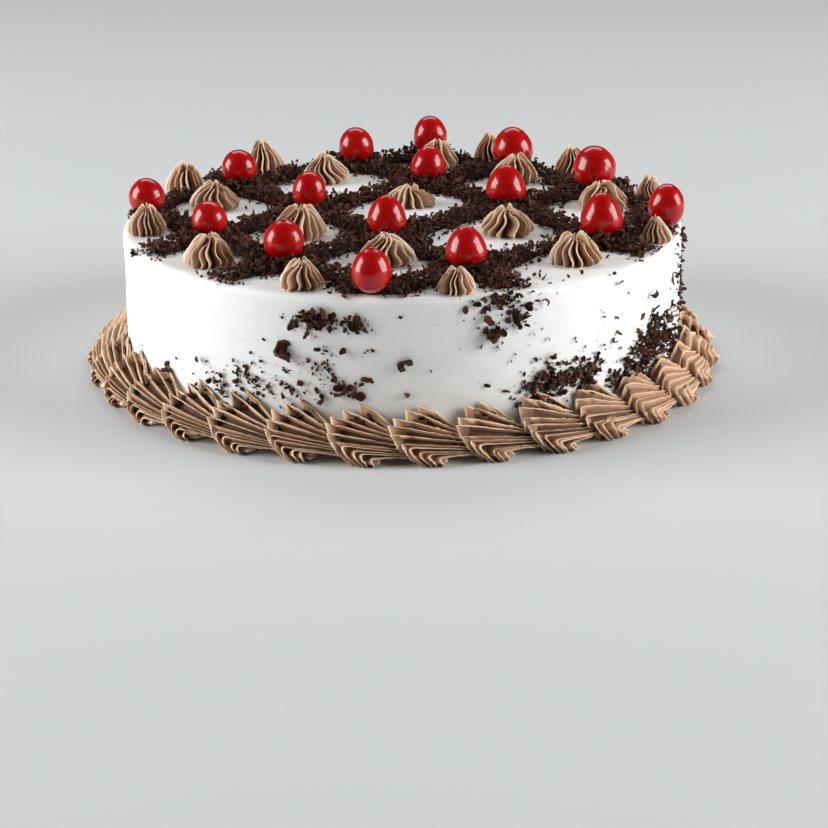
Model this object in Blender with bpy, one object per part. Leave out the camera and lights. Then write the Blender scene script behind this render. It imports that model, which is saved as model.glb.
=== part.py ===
"""Black forest cake: a round cream-coated cake with a piped shell border, a lattice of chocolate shavings, piped
rosettes in its diamonds and a cherry on each crossing. Metres, +Z up, origin at the middle of the base."""

import math
import random

import bmesh
import bpy
from mathutils import Matrix, Vector

MM = 0.001
GAP = 0.3 * MM  # clearance between neighbouring solids

# The cake: an 8-inch sponge with its coat of cream.
CAKE_RADIUS = 105.0 * MM
CAKE_HEIGHT = 54.5 * MM
RIM_ROUND = 2.0 * MM  # rounding of the cream's upper edge
FOOT_ROUND = 0.8 * MM
CAKE_SEGMENTS = 72
RIM_STEPS = 3
CAKE_SHARP = math.radians(35.0)  # an edge that turns more than this is shaded sharp

# The piped border: one run of shells, each with its head towards clockwise and its tail under the next head.
SHELL_COUNT = 32
SHELL_WIDTH = 13.6 * MM
SHELL_HEIGHT = 17.2 * MM
SHELL_CREASE = 0.17  # depth of the grooves between ridges, as a share of the reach
SHELL_RIDGES = 4
SHELL_SIZES = (0.94, 1.03)  # least and most height of a shell, as a share of SHELL_HEIGHT
SHELL_SHARP = math.radians(60.0)
# Along a shell, from head to tail: place in the pitch, share of the width, share of the height.
SHELL_STATIONS = ((0.0, 0.80, 0.58), (0.20, 1.0, 1.0), (0.56, 0.88, 0.82), (0.90, 0.62, 0.48))

# The lattice: lines of shavings through crossings (i, j), at LATTICE_MIDDLE + i * LATTICE_I + j * LATTICE_J.
LATTICE_MIDDLE = Vector((-4.0, -29.0, 0.0)) * MM
LATTICE_I = Vector((29.5, -39.0, 0.0)) * MM
LATTICE_J = Vector((38.5, 34.5, 0.0)) * MM
LINES_I = (-2, -1, 0, 1)
LINES_J = (-1, 0, 1, 2)

# The heap of shavings that lies along the lines.
CROSSING_HALF = 9.5 * MM  # half the heap's width where two lines cross
LINE_HALF = 6.4 * MM  # half its width between crossings
LINE_RAGGED = 1.5 * MM  # how far its outline wanders
HEAP_EDGE = 0.9 * MM
HEAP_CROWN = 3.9 * MM
HEAP_ROUGH = 0.6 * MM
HEAP_BESIDE_CHERRY = 2.3 * MM
HEAP_UNDER_CHERRY = 0.5 * MM
HEAP_REACH = CAKE_RADIUS - 1.6 * MM  # the heap ends where the rim starts to round
HEAP_CLEAR = 1.3 * MM  # how far the heap keeps from a rosette's bulge
LINK_STEPS = 3
CROWDED_STEPS = 7  # for a link that has to bend round a rosette
CROWDED_SHIFT = 1.0 * MM
REACH_STEPS = 5
SETTLING_STEPS = 8
SETTLING_SHARE = 0.6  # how much of the way a place is moved in one step
CUTTER_CLEAR = 0.4 * MM
CUTTER_HEIGHT = 12.0 * MM
CUTTER_SIDES = 20

# Cherries: crossing i, j; nudge x, y off the crossing; width, height, lift over the cream, all in mm.
CHERRIES = (
    (-2, -1, 4.6, -9.0, 14.0, 14.0, 1.0),
    (-2, 0, -2.0, 0.7, 14.4, 14.4, 1.2),
    (-2, 1, 6.1, 1.9, 15.0, 15.4, 1.2),
    (-2, 2, -1.8, -18.7, 14.6, 16.4, 1.6),
    (-1, -1, 2.1, -4.5, 13.4, 13.4, 1.2),
    (-1, 0, -1.8, -0.2, 13.3, 14.8, 1.2),
    (-1, 1, 5.3, 9.1, 14.5, 14.5, 1.2),
    (-1, 2, 2.6, -1.7, 17.2, 16.6, 1.2),
    (0, -1, 0.9, 1.3, 14.6, 14.9, 1.2),
    (0, 0, -1.4, -1.4, 14.9, 15.6, 1.2),
    (0, 1, 5.5, 9.3, 15.7, 15.7, 1.2),
    (0, 2, 3.0, -2.8, 17.4, 17.6, 1.2),
    (1, -1, 2.5, 2.0, 13.5, 15.2, 1.0),
    (1, 0, -3.6, -5.1, 14.7, 15.1, 1.2),
    (1, 1, 8.3, -1.6, 16.0, 17.0, 1.2),
    (1, 2, -5.5, -21.5, 13.6, 16.4, 1.0),
)
CHERRY_TAPER = 0.16  # how much narrower a cherry is towards its tip
CHERRY_SEGMENTS = 10
CHERRY_RINGS = 6

# Rosettes, at the middles of the lattice's diamonds: i, j; nudge x, y; radius and height, in mm.
ROSETTES = (
    (-2.5, -0.5, 11.0, -6.2, 7.8, 11.8),
    (-2.5, 0.5, 1.8, -6.5, 8.0, 12.4),
    (-2.5, 1.5, 0.7, -21.5, 5.4, 10.0),
    (-1.5, -1.5, 11.5, 4.2, 7.4, 10.2),
    (-1.5, -0.5, -5.8, 7.8, 10.0, 10.3),
    (-1.5, 0.5, -2.2, 13.8, 9.8, 11.2),
    (-1.5, 1.5, 4.8, 1.5, 8.8, 12.2),
    (-1.5, 2.5, -11.4, -24.5, 7.2, 12.6),
    (-0.5, -1.5, 9.2, 0.8, 9.3, 10.9),
    (-0.5, -0.5, 0.0, 1.8, 10.0, 11.0),
    (-0.5, 0.5, 2.5, 13.2, 9.5, 7.5),
    (-0.5, 1.5, 6.3, 15.2, 10.0, 11.2),
    (-0.5, 2.5, -7.5, -9.0, 7.5, 12.2),
    (0.5, -1.5, 13.7, 11.2, 7.5, 9.8),
    (0.5, -0.5, 2.2, 5.2, 10.4, 9.8),
    (0.5, 0.5, 7.8, 8.8, 10.8, 10.2),
    (0.5, 1.5, 8.2, 12.0, 9.2, 10.0),
    (0.5, 2.5, -11.0, -10.9, 5.2, 8.8),
    (1.5, -0.5, -3.3, 7.8, 6.5, 8.6),
    (1.5, 0.5, 0.0, 8.0, 9.6, 10.2),
    (1.5, 1.5, -6.2, 0.2, 6.2, 8.9),
)
ROSETTE_RIDGES = 8
ROSETTE_TWIST = math.radians(26.0)  # turn of the ridges from base to tip
ROSETTE_LEAN = 0.10  # most that a tip leans, as a share of the height
# Levels of a rosette: share of the height, share of the radius at a ridge, depth of the groove beside it.
ROSETTE_LEVELS = ((0.0, 0.86, 0.16), (0.26, 1.0, 0.24), (0.66, 0.72, 0.28), (0.97, 0.26, 0.34))
ROSETTE_HOLLOW = 0.88  # height of the small hollow inside the tips
ROSETTE_CROWN = 0.5  # level above which the grooves also dip between the tips
ROSETTE_DIP = 0.05
ROSETTE_SHARP = math.radians(50.0)

rng = random.Random(8)


def clear_scene():
    for thing in list(bpy.data.objects):
        bpy.data.objects.remove(thing)


def principled(name, colour, roughness, coat=0.0):
    material = bpy.data.materials.new(name)
    material.use_nodes = True
    shader = material.node_tree.nodes["Principled BSDF"]
    shader.inputs["Base Color"].default_value = (*colour, 1.0)
    shader.inputs["Roughness"].default_value = roughness
    shader.inputs["Metallic"].default_value = 0.0
    shader.inputs["Coat Weight"].default_value = coat
    return material


def finish_solid(name, mesh, material, sharp_above=None):
    """Turns a closed bmesh into the named object, shaded smooth apart from edges sharper than the angle."""
    bmesh.ops.recalc_face_normals(mesh, faces=mesh.faces)
    data = bpy.data.meshes.new(name)
    mesh.to_mesh(data)
    mesh.free()
    data.shade_smooth()
    if sharp_above is not None:
        data.set_sharp_from_angle(angle=sharp_above)
    data.materials.append(material)
    solid = bpy.data.objects.new(name, data)
    bpy.context.scene.collection.objects.link(solid)
    return solid


def ringed_solid(name, rings, bottom, top, material, sharp_above=None):
    """A solid of stacked rings of equal point count, closed by a fan to one point at each end."""
    mesh = bmesh.new()
    rows = [[mesh.verts.new(point) for point in ring] for ring in rings]
    low, high = mesh.verts.new(bottom), mesh.verts.new(top)
    count = len(rows[0])
    for here in range(count):
        after = (here + 1) % count
        mesh.faces.new((low, rows[0][after], rows[0][here]))
        for under, over in zip(rows, rows[1:]):
            mesh.faces.new((under[here], under[after], over[after], over[here]))
        mesh.faces.new((high, rows[-1][here], rows[-1][after]))
    return finish_solid(name, mesh, material, sharp_above)


def circle(radius, height, count, centre=(0.0, 0.0)):
    angles = (2.0 * math.pi * step / count for step in range(count))
    return [
        Vector((centre[0] + radius * math.cos(angle), centre[1] + radius * math.sin(angle), height))
        for angle in angles
    ]


def cake_body(material):
    """The cream-coated cake: a straight side with a rounded rim and a slightly rounded foot."""
    profile = [(CAKE_RADIUS - FOOT_ROUND, 0.0), (CAKE_RADIUS, FOOT_ROUND)]
    for step in range(RIM_STEPS + 1):
        turn = 0.5 * math.pi * step / RIM_STEPS
        profile.append(
            (
                CAKE_RADIUS - RIM_ROUND * (1.0 - math.cos(turn)),
                CAKE_HEIGHT - RIM_ROUND * (1.0 - math.sin(turn)),
            )
        )
    rings = [circle(radius, height, CAKE_SEGMENTS) for radius, height in profile]
    return ringed_solid("cake_body", rings, (0, 0, 0), (0, 0, CAKE_HEIGHT), material, CAKE_SHARP)


def shell_section(width, height):
    """The border's section as (reach, height) points, from the cake's foot outwards and up to its side."""
    points = [(0.0, 0.0), (width, 0.0)]
    steps = 2 * SHELL_RIDGES
    for step in range(1, steps + 1):
        turn = 0.5 * math.pi * step / (steps + 1)
        share = 1.0 - SHELL_CREASE if step % 2 else 1.0
        points.append((share * width * math.cos(turn), share * height * math.sin(turn)))
    points.append((0.0, height))
    return points


def piped_border(material):
    """The ring of shells, one swept solid whose section swells at each head and shrinks at each tail."""
    mesh = bmesh.new()
    pitch = 2.0 * math.pi / SHELL_COUNT
    widest = SHELL_STATIONS[1][0]  # put on the axes, so that the border is as wide as it is deep
    inner = CAKE_RADIUS + GAP
    rows = []
    for shell in range(SHELL_COUNT):
        taller = rng.uniform(*SHELL_SIZES)
        for place, wide, high in SHELL_STATIONS:
            angle = pitch * (shell + place - widest)
            section = shell_section(SHELL_WIDTH * wide, SHELL_HEIGHT * high * taller)
            rows.append(
                [
                    mesh.verts.new(((inner + reach) * math.cos(angle), (inner + reach) * math.sin(angle), z))
                    for reach, z in section
                ]
            )
    for here, after in zip(rows, rows[1:] + rows[:1]):
        for point in range(len(here)):
            beside = (point + 1) % len(here)
            mesh.faces.new((here[point], here[beside], after[beside], after[point]))
    return finish_solid("piped_border", mesh, material, SHELL_SHARP)


def lattice_point(i, j):
    return LATTICE_MIDDLE + i * LATTICE_I + j * LATTICE_J


def topping_centre(i, j, x, y):
    return lattice_point(i, j) + Vector((x, y, 0.0)) * MM


def crossing_nudges():
    return {(i, j): Vector((x, y, 0.0)) * MM for i, j, x, y, *_ in CHERRIES}


def clear_of_rosettes(place, margin):
    """The place moved, in a few settling steps, until it is the margin away from the rosettes round it."""
    for _ in range(SETTLING_STEPS):
        push = Vector()
        for i, j, x, y, radius, _ in ROSETTES:
            away = place - topping_centre(i, j, x, y)
            needed = radius * MM + margin - away.length
            if needed > 0.0:
                push += away.normalized() * needed
        place = place + push * SETTLING_SHARE
    return place


def bent_point(i, j, nudges):
    """A point of the lattice with its neighbouring crossings' nudges blended in, so the lines bend through them."""
    held_i = min(max(i, LINES_I[0]), LINES_I[-1])
    held_j = min(max(j, LINES_J[0]), LINES_J[-1])
    low_i = min(math.floor(held_i), LINES_I[-1] - 1)
    low_j = min(math.floor(held_j), LINES_J[-1] - 1)
    share_i, share_j = held_i - low_i, held_j - low_j
    nudge = Vector()
    for step_i, weight_i in ((0, 1.0 - share_i), (1, share_i)):
        for step_j, weight_j in ((0, 1.0 - share_j), (1, share_j)):
            nudge += weight_i * weight_j * nudges[low_i + step_i, low_j + step_j]
    return lattice_point(i, j) + nudge


def free_reach(place, outwards, reach):
    """How much of the reach a point can go outwards from a place before it comes too near a rosette."""
    for step in range(REACH_STEPS, 1, -1):
        point = place + outwards * reach * step / REACH_STEPS
        if all(
            (point - topping_centre(i, j, x, y)).length > radius * MM + HEAP_CLEAR
            for i, j, x, y, radius, _ in ROSETTES
        ):
            return reach * step / REACH_STEPS
    return reach / REACH_STEPS


class Heap:
    """The sheet of the heap's upper surface, grown crossing by crossing and link by link."""

    def __init__(self):
        self.mesh = bmesh.new()
        self.nudges = crossing_nudges()
        self.corners = {}
        self.sheet = []

    def point(self, place, height):
        place = place.copy()
        if place.length > HEAP_REACH:
            place *= HEAP_REACH / place.length
            height = min(height, HEAP_EDGE)
        place.z = CAKE_HEIGHT + height
        return self.mesh.verts.new(place)

    def on_line(self, place, line, along_i):
        """The point at a place along a line, where the line keeps i or keeps j."""
        return bent_point(*((place, line) if along_i else (line, place)), self.nudges)

    def crossing(self, i, j):
        half_i, half_j = CROSSING_HALF / LATTICE_I.length, CROSSING_HALF / LATTICE_J.length
        heights = (HEAP_UNDER_CHERRY, HEAP_BESIDE_CHERRY, HEAP_EDGE)
        for side_i in (-1, 0, 1):
            for side_j in (-1, 0, 1):
                height = heights[abs(side_i) + abs(side_j)]
                place = bent_point(i + side_i * half_i, j + side_j * half_j, self.nudges)
                self.corners[i, j, side_i, side_j] = self.point(clear_of_rosettes(place, HEAP_CLEAR), height)
        for side_i in (-1, 0):
            for side_j in (-1, 0):
                self.sheet.append(
                    [
                        self.corners[i, j, side_i + step_i, side_j + step_j]
                        for step_i, step_j in ((0, 0), (1, 0), (1, 1), (0, 1))
                    ]
                )

    def side_of(self, i, j, along_i, outwards):
        """The three points on one side of a crossing's patch."""
        return [
            self.corners[(i, j, outwards, side) if along_i else (i, j, side, outwards)]
            for side in (-1, 0, 1)
        ]

    def across(self, along_i):
        return (LATTICE_J if along_i else LATTICE_I).normalized()

    def row(self, middle, outwards, crown):
        """One row across the heap: a ragged edge to each side of its crown."""
        places = []
        for side in (-1, 1):
            reach = LINE_HALF + rng.uniform(-LINE_RAGGED, LINE_RAGGED)
            places.append(middle + side * outwards * free_reach(middle, side * outwards, reach))
        left, right = (self.point(place, HEAP_EDGE) for place in places)
        return [left, self.point(middle, crown), right]

    def rows_between(self, start, stop, line, along_i):
        """Rows of the heap between two places on a line, more of them where it has to bend round a rosette."""
        for steps in (LINK_STEPS, CROWDED_STEPS):
            straight = [
                self.on_line(start + (stop - start) * step / steps, line, along_i) for step in range(1, steps)
            ]
            middles = [clear_of_rosettes(place, HEAP_CLEAR + LINE_HALF) for place in straight]
            if all((place - middle).length < CROWDED_SHIFT for place, middle in zip(straight, middles)):
                break
        outwards = self.across(along_i)
        return [
            self.row(middle, outwards, HEAP_CROWN + rng.uniform(-HEAP_ROUGH, HEAP_ROUGH)) for middle in middles
        ]

    def join(self, rows):
        for here, after in zip(rows, rows[1:]):
            for side in (0, 1):
                self.sheet.append([here[side], here[side + 1], after[side + 1], after[side]])

    def link(self, line, low, high, along_i):
        """The stretch between two neighbouring crossings of a line."""
        half = CROSSING_HALF / (LATTICE_I if along_i else LATTICE_J).length
        first = (low, line) if along_i else (line, low)
        last = (high, line) if along_i else (line, high)
        middle = self.rows_between(low + half, high - half, line, along_i)
        self.join([self.side_of(*first, along_i, 1), *middle, self.side_of(*last, along_i, -1)])

    def run_out(self, line, end, outwards, along_i):
        """The stretch from a line's last crossing out to the rim, where it is not already there."""
        pitch = (LATTICE_I if along_i else LATTICE_J).length
        start = end + outwards * CROSSING_HALF / pitch
        stop = start
        while self.on_line(stop, line, along_i).length < HEAP_REACH:
            stop += outwards * MM / pitch
        if abs(stop - start) * pitch < LINE_HALF:
            return
        crossing = (end, line) if along_i else (line, end)
        middle = self.rows_between(start, stop, line, along_i)
        last = self.row(self.on_line(stop, line, along_i), self.across(along_i), HEAP_EDGE)
        self.join([self.side_of(*crossing, along_i, outwards), *middle, last])

    def solid(self, name, material):
        """Closes the sheet with a floor just over the cream and a low wall round every edge."""
        floor = {
            vert: self.mesh.verts.new((vert.co.x, vert.co.y, CAKE_HEIGHT + GAP)) for vert in list(self.mesh.verts)
        }
        edges = {}
        for corners in self.sheet:
            self.mesh.faces.new(corners)
            self.mesh.faces.new([floor[vert] for vert in reversed(corners)])
            for first, second in zip(corners, corners[1:] + corners[:1]):
                if (second, first) in edges:
                    del edges[second, first]
                elif (first, second) in edges:
                    del edges[first, second]
                else:
                    edges[first, second] = True
        for first, second in edges:
            self.mesh.faces.new((first, floor[first], floor[second], second))
        return finish_solid(name, self.mesh, material)


def chocolate_shavings(material):
    """The lattice of heaped shavings, one low solid with a ragged outline and a dip under each cherry."""
    heap = Heap()
    for i in LINES_I:
        for j in LINES_J:
            heap.crossing(i, j)
    for along_i, lines, places in ((True, LINES_J, LINES_I), (False, LINES_I, LINES_J)):
        for line in lines:
            for low, high in zip(places, places[1:]):
                heap.link(line, low, high, along_i)
            heap.run_out(line, places[0], -1, along_i)
            heap.run_out(line, places[-1], 1, along_i)
    shavings = heap.solid("chocolate_shavings", material)
    cut = shavings.modifiers.new("rosette_clearance", "BOOLEAN")
    cut.operation = "DIFFERENCE"
    cut.solver = "EXACT"
    cut.object = rosette_clearance()
    return shavings


def rosette_clearance():
    """The cutter that keeps the heap off the rosettes: one short upright prism round each."""
    mesh = bmesh.new()
    for i, j, x, y, radius, _ in ROSETTES:
        centre = topping_centre(i, j, x, y)
        reach = (radius * MM + CUTTER_CLEAR) / math.cos(math.pi / CUTTER_SIDES)
        place = Matrix.Translation((centre.x, centre.y, CAKE_HEIGHT + 0.5 * CUTTER_HEIGHT))
        bmesh.ops.create_cone(
            mesh,
            cap_ends=True,
            segments=CUTTER_SIDES,
            radius1=reach,
            radius2=reach,
            depth=CUTTER_HEIGHT,
            matrix=place,
        )
    data = bpy.data.meshes.new("rosette_clearance")
    mesh.to_mesh(data)
    mesh.free()
    cutter = bpy.data.objects.new("rosette_clearance", data)
    cutter.hide_render = True
    cutter.display_type = "WIRE"
    bpy.context.scene.collection.objects.link(cutter)
    return cutter


def cherry(name, centre, width, height, lift, material):
    """A glazed cherry, an egg that stands on its round end."""
    base = CAKE_HEIGHT + lift
    rings = []
    for step in range(1, CHERRY_RINGS):
        turn = math.pi * step / CHERRY_RINGS
        radius = 0.5 * width * math.sin(turn) * (1.0 + CHERRY_TAPER * math.cos(turn)) / (1.0 + CHERRY_TAPER**2 / 2)
        level = base + 0.5 * height * (1.0 - math.cos(turn))
        rings.append(circle(radius, level, CHERRY_SEGMENTS, centre))
    bottom, top = (centre.x, centre.y, base), (centre.x, centre.y, base + height)
    return ringed_solid(name, rings, bottom, top, material)


def rosette(name, centre, radius, height, material):
    """A piped star rosette: ridges that bulge at the base, twist as they rise and end in a ring of tips."""
    base = CAKE_HEIGHT + GAP
    lean = Vector((rng.uniform(-1, 1), rng.uniform(-1, 1), 0.0)) * ROSETTE_LEAN * height
    start = rng.uniform(0.0, math.pi / ROSETTE_RIDGES)
    rings = []
    for level, share, groove in ROSETTE_LEVELS:
        middle = centre + lean * level
        ring = []
        for step in range(2 * ROSETTE_RIDGES):
            angle = start + math.pi * step / ROSETTE_RIDGES + ROSETTE_TWIST * level
            reach = radius * share * (1.0 - groove if step % 2 else 1.0)
            dip = ROSETTE_DIP if step % 2 and level > ROSETTE_CROWN else 0.0
            rise = height * (level - dip)
            ring.append((middle.x + reach * math.cos(angle), middle.y + reach * math.sin(angle), base + rise))
        rings.append(ring)
    tip = centre + lean
    bottom, top = (centre.x, centre.y, base), (tip.x, tip.y, base + height * ROSETTE_HOLLOW)
    return ringed_solid(name, rings, bottom, top, material, ROSETTE_SHARP)


def main():
    clear_scene()
    cream = principled("cream", (0.87, 0.86, 0.83), 0.5)
    chocolate_cream = principled("chocolate_cream", (0.36, 0.22, 0.15), 0.55)
    dark_chocolate = principled("dark_chocolate", (0.035, 0.018, 0.012), 0.45)
    glazed_cherry = principled("glazed_cherry", (0.50, 0.004, 0.003), 0.12, 0.8)
    cake_body(cream)
    piped_border(chocolate_cream)
    chocolate_shavings(dark_chocolate)
    for number, (i, j, x, y, width, height, lift) in enumerate(CHERRIES, 1):
        centre = topping_centre(i, j, x, y)
        cherry(f"cherry_{number:02d}", centre, width * MM, height * MM, lift * MM, glazed_cherry)
    for number, (i, j, x, y, radius, height) in enumerate(ROSETTES, 1):
        centre = topping_centre(i, j, x, y)
        rosette(f"rosette_{number:02d}", centre, radius * MM, height * MM, chocolate_cream)


main()
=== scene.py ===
"""Dresses the black forest cake: spread cream, piped shells and rosettes, glazed cherries and shavings.

Everything is in metres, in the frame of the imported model: +Z up, origin at the middle of the cake's base."""

import math

import bmesh
import bpy
import numpy as np
from mathutils import Matrix, Vector
from mathutils.bvhtree import BVHTree
from mathutils.kdtree import KDTree


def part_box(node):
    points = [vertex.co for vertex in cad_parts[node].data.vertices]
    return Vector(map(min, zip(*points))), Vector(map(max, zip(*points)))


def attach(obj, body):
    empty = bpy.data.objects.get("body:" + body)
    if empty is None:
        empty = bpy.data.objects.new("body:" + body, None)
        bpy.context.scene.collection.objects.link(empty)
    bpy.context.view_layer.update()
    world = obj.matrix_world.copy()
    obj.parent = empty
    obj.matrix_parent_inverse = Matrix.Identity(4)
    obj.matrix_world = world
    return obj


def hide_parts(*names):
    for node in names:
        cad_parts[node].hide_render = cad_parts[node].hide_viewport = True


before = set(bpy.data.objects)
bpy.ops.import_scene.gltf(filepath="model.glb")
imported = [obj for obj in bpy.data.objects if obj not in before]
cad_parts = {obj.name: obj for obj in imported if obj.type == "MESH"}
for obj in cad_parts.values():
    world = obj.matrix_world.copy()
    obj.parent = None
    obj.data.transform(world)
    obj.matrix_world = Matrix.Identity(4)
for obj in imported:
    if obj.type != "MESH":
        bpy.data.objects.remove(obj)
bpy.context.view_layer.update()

MM = 0.001
BODY = "root"

# Sizes that the frame gives.
cake_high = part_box("cake_body")[1]
CAKE_RADIUS = cake_high.x
CAKE_TOP = cake_high.z
CHERRY_NODES = sorted(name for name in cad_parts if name.startswith("cherry"))
ROSETTE_NODES = sorted(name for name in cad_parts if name.startswith("rosette"))

# The coat of cream.
RIM_ROUND = 2.6 * MM
FOOT_ROUND = 0.8 * MM
COAT_SEGMENTS = 420
COAT_WAVE = 0.22 * MM  # how far the spatula left the side uneven

# The piped border.
SHELL_COUNT = 32
SHELL_FORMS = 16  # shells that differ; the ring uses each twice
SHELL_RUNS = 4
SHELL_ROWS = 56

# Rosettes.
ROSETTE_ROWS = 46


# ---------------------------------------------------------------- curves and noise


def smooth_curve(values, at, closed=False):
    """Values read along a smooth curve through evenly spaced stations; at counts stations from 0."""
    values = np.asarray(values, float)
    count = len(values)
    if closed:
        start = np.floor(at).astype(int)
        around = [values[(start + step) % count] for step in (-1, 0, 1, 2)]
    else:
        at = np.clip(np.asarray(at, float), 0.0, count - 1 - 1e-9)
        start = at.astype(int)
        around = [values[np.clip(start + step, 0, count - 1)] for step in (-1, 0, 1, 2)]
    before, here, after, beyond = around
    share = (at - start).reshape((-1,) + (1,) * (values.ndim - 1))
    pull = 0.5 * (after - before)
    push = 0.5 * (beyond - here)
    step = after - here
    bend = 3.0 * step - 2.0 * pull - push
    return here + share * (pull + share * (bend + share * (pull + push - 2.0 * step)))


def soft_step(low, high, value):
    share = np.clip((value - low) / (high - low), 0.0, 1.0)
    return share * share * (3.0 - 2.0 * share)


def ripples(points, wavelength, seed, waves=14):
    """A cheap smooth noise, about -1 to 1: a sum of waves that cross the points in all directions."""
    draw = np.random.default_rng(seed)
    total = np.zeros(points.shape[:-1])
    for _ in range(waves):
        direction = draw.normal(size=3)
        direction *= 2.0 * math.pi / (wavelength * draw.uniform(0.6, 1.8) * np.linalg.norm(direction))
        total += np.sin(points @ direction + draw.uniform(0.0, 2.0 * math.pi))
    return total * math.sqrt(2.0 / waves) * 0.7


# ---------------------------------------------------------------- meshes


def grid_faces(rows, columns, wrap=True):
    """Quads between the rows of a grid of points; wrap joins the last column to the first."""
    row = np.arange(rows - 1)[:, None]
    column = np.arange(columns if wrap else columns - 1)[None, :]
    after = (column + 1) % columns
    here, above = row * columns, (row + 1) * columns
    corners = (here + column, here + after, above + after, above + column)
    return np.stack(corners, axis=-1).reshape(-1, 4).tolist()


def closed_rings(rings, first_pole, last_pole):
    """Points and faces of a form made of stacked rings, closed by a fan of triangles at each end."""
    rows, columns, _ = rings.shape
    points = np.concatenate([rings.reshape(-1, 3), [first_pole, last_pole]])
    faces = grid_faces(rows, columns)
    low, high = rows * columns, rows * columns + 1
    last = (rows - 1) * columns
    for here in range(columns):
        after = (here + 1) % columns
        faces.append((low, after, here))
        faces.append((high, last + here, last + after))
    return points, faces


def mark_points(mesh, mark, values):
    """Gives a mesh a named value at each of its points."""
    layer = mesh.attributes.new(mark, "FLOAT", "POINT")
    layer.data.foreach_set("value", np.asarray(values, np.float32).ravel())


def mesh_of(name, points, faces, marks=None):
    """A smooth mesh with its faces outwards; marks are named values, one for each point."""
    mesh = bpy.data.meshes.new(name)
    mesh.from_pydata(np.asarray(points).tolist(), [], faces)
    for mark, values in (marks or {}).items():
        mark_points(mesh, mark, values)
    shape = bmesh.new()
    shape.from_mesh(mesh)
    if shape.calc_volume(signed=True) < 0.0:
        bmesh.ops.reverse_faces(shape, faces=shape.faces)
        shape.to_mesh(mesh)
    shape.free()
    mesh.shade_smooth()
    return mesh


def piece(name, mesh, material, replaced=()):
    """Puts a finished mesh in the scene, riding on the cake and standing for the CAD nodes it replaces."""
    made = bpy.data.objects.new(name, mesh)
    bpy.context.scene.collection.objects.link(made)
    mesh.materials.clear()
    mesh.materials.append(material)
    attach(made, BODY)
    if replaced:
        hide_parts(*replaced)


def middle_of(node):
    """The middle of a node's box, in the plan of the cake."""
    low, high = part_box(node)
    return np.array([(low.x + high.x) / 2.0, (low.y + high.y) / 2.0])


# ---------------------------------------------------------------- materials


def add_node(tree, kind, feeds=None, **settings):
    """A new node with its settings; feeds gives an input its value, or the output that it is linked to."""
    made = tree.nodes.new(kind)
    for setting, value in settings.items():
        setattr(made, setting, value)
    for label, feed in (feeds or {}).items():
        if isinstance(feed, bpy.types.NodeSocket):
            tree.links.new(feed, made.inputs[label])
        else:
            made.inputs[label].default_value = feed
    return made


def new_group(name, kind, inputs, outputs):
    """A node group and its inputs, each given by its default number or its type, and its outputs by type."""
    group = bpy.data.node_groups.new(name, kind)
    for label, default in inputs.items():
        number = not isinstance(default, str)
        type_name = type(default).__name__.title() if number else default
        made = group.interface.new_socket(label, in_out="INPUT", socket_type="NodeSocket" + type_name)
        if number:
            made.default_value = default
    for label, type_name in outputs.items():
        group.interface.new_socket(label, in_out="OUTPUT", socket_type="NodeSocket" + type_name)
    return group, add_node(group, "NodeGroupInput").outputs


def mottle_group():
    """Shader group: a colour that drifts between two shades, a roughness and a fine height for a bump."""
    shades = {"Light Shade": "Color", "Dark Shade": "Color"}
    numbers = {"Patch Scale": 60.0, "Grain Scale": 900.0, "Roughness Low": 0.4, "Roughness High": 0.6}
    results = {"Colour": "Color", "Roughness": "Float", "Height": "Float"}
    group, given = new_group("mottle", "ShaderNodeTree", {**shades, **numbers}, results)
    place = add_node(group, "ShaderNodeTexCoord").outputs["Object"]
    patchy = {"Vector": place, "Scale": given["Patch Scale"], "Detail": 3.0}
    patches = add_node(group, "ShaderNodeTexNoise", patchy).outputs["Fac"]
    grainy = {"Vector": place, "Scale": given["Grain Scale"], "Detail": 4.0}
    grain = add_node(group, "ShaderNodeTexNoise", grainy).outputs["Fac"]
    blend = {"Factor": patches, "A": given["Dark Shade"], "B": given["Light Shade"]}
    colour = add_node(group, "ShaderNodeMix", blend, data_type="RGBA").outputs["Result"]
    limits = {"Value": grain, "To Min": given["Roughness Low"], "To Max": given["Roughness High"]}
    rough = add_node(group, "ShaderNodeMapRange", limits).outputs["Result"]
    add_node(group, "NodeGroupOutput", {"Colour": colour, "Roughness": rough, "Height": grain})
    return group


def finish(name, mottle, light, dark, patch_scale, grain_scale, roughness, bump, **sockets):
    """A material with the mottle group in it."""
    material = bpy.data.materials.new(name)
    material.use_nodes = True
    tree = material.node_tree
    shader = tree.nodes["Principled BSDF"]
    for socket, value in sockets.items():
        label = socket.replace("_", " ").title().replace("Ior", "IOR")
        shader.inputs[label].default_value = value
    feeds = {
        "Light Shade": (*light, 1.0),
        "Dark Shade": (*dark, 1.0),
        "Patch Scale": patch_scale,
        "Grain Scale": grain_scale,
        "Roughness Low": roughness[0],
        "Roughness High": roughness[1],
    }
    spread = add_node(tree, "ShaderNodeGroup", feeds, node_tree=mottle).outputs
    bumps = {"Strength": bump[0], "Distance": bump[1], "Height": spread["Height"]}
    relief = add_node(tree, "ShaderNodeBump", bumps)
    tree.links.new(spread["Colour"], shader.inputs["Base Color"])
    tree.links.new(spread["Roughness"], shader.inputs["Roughness"])
    tree.links.new(relief.outputs["Normal"], shader.inputs["Normal"])
    return material


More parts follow.
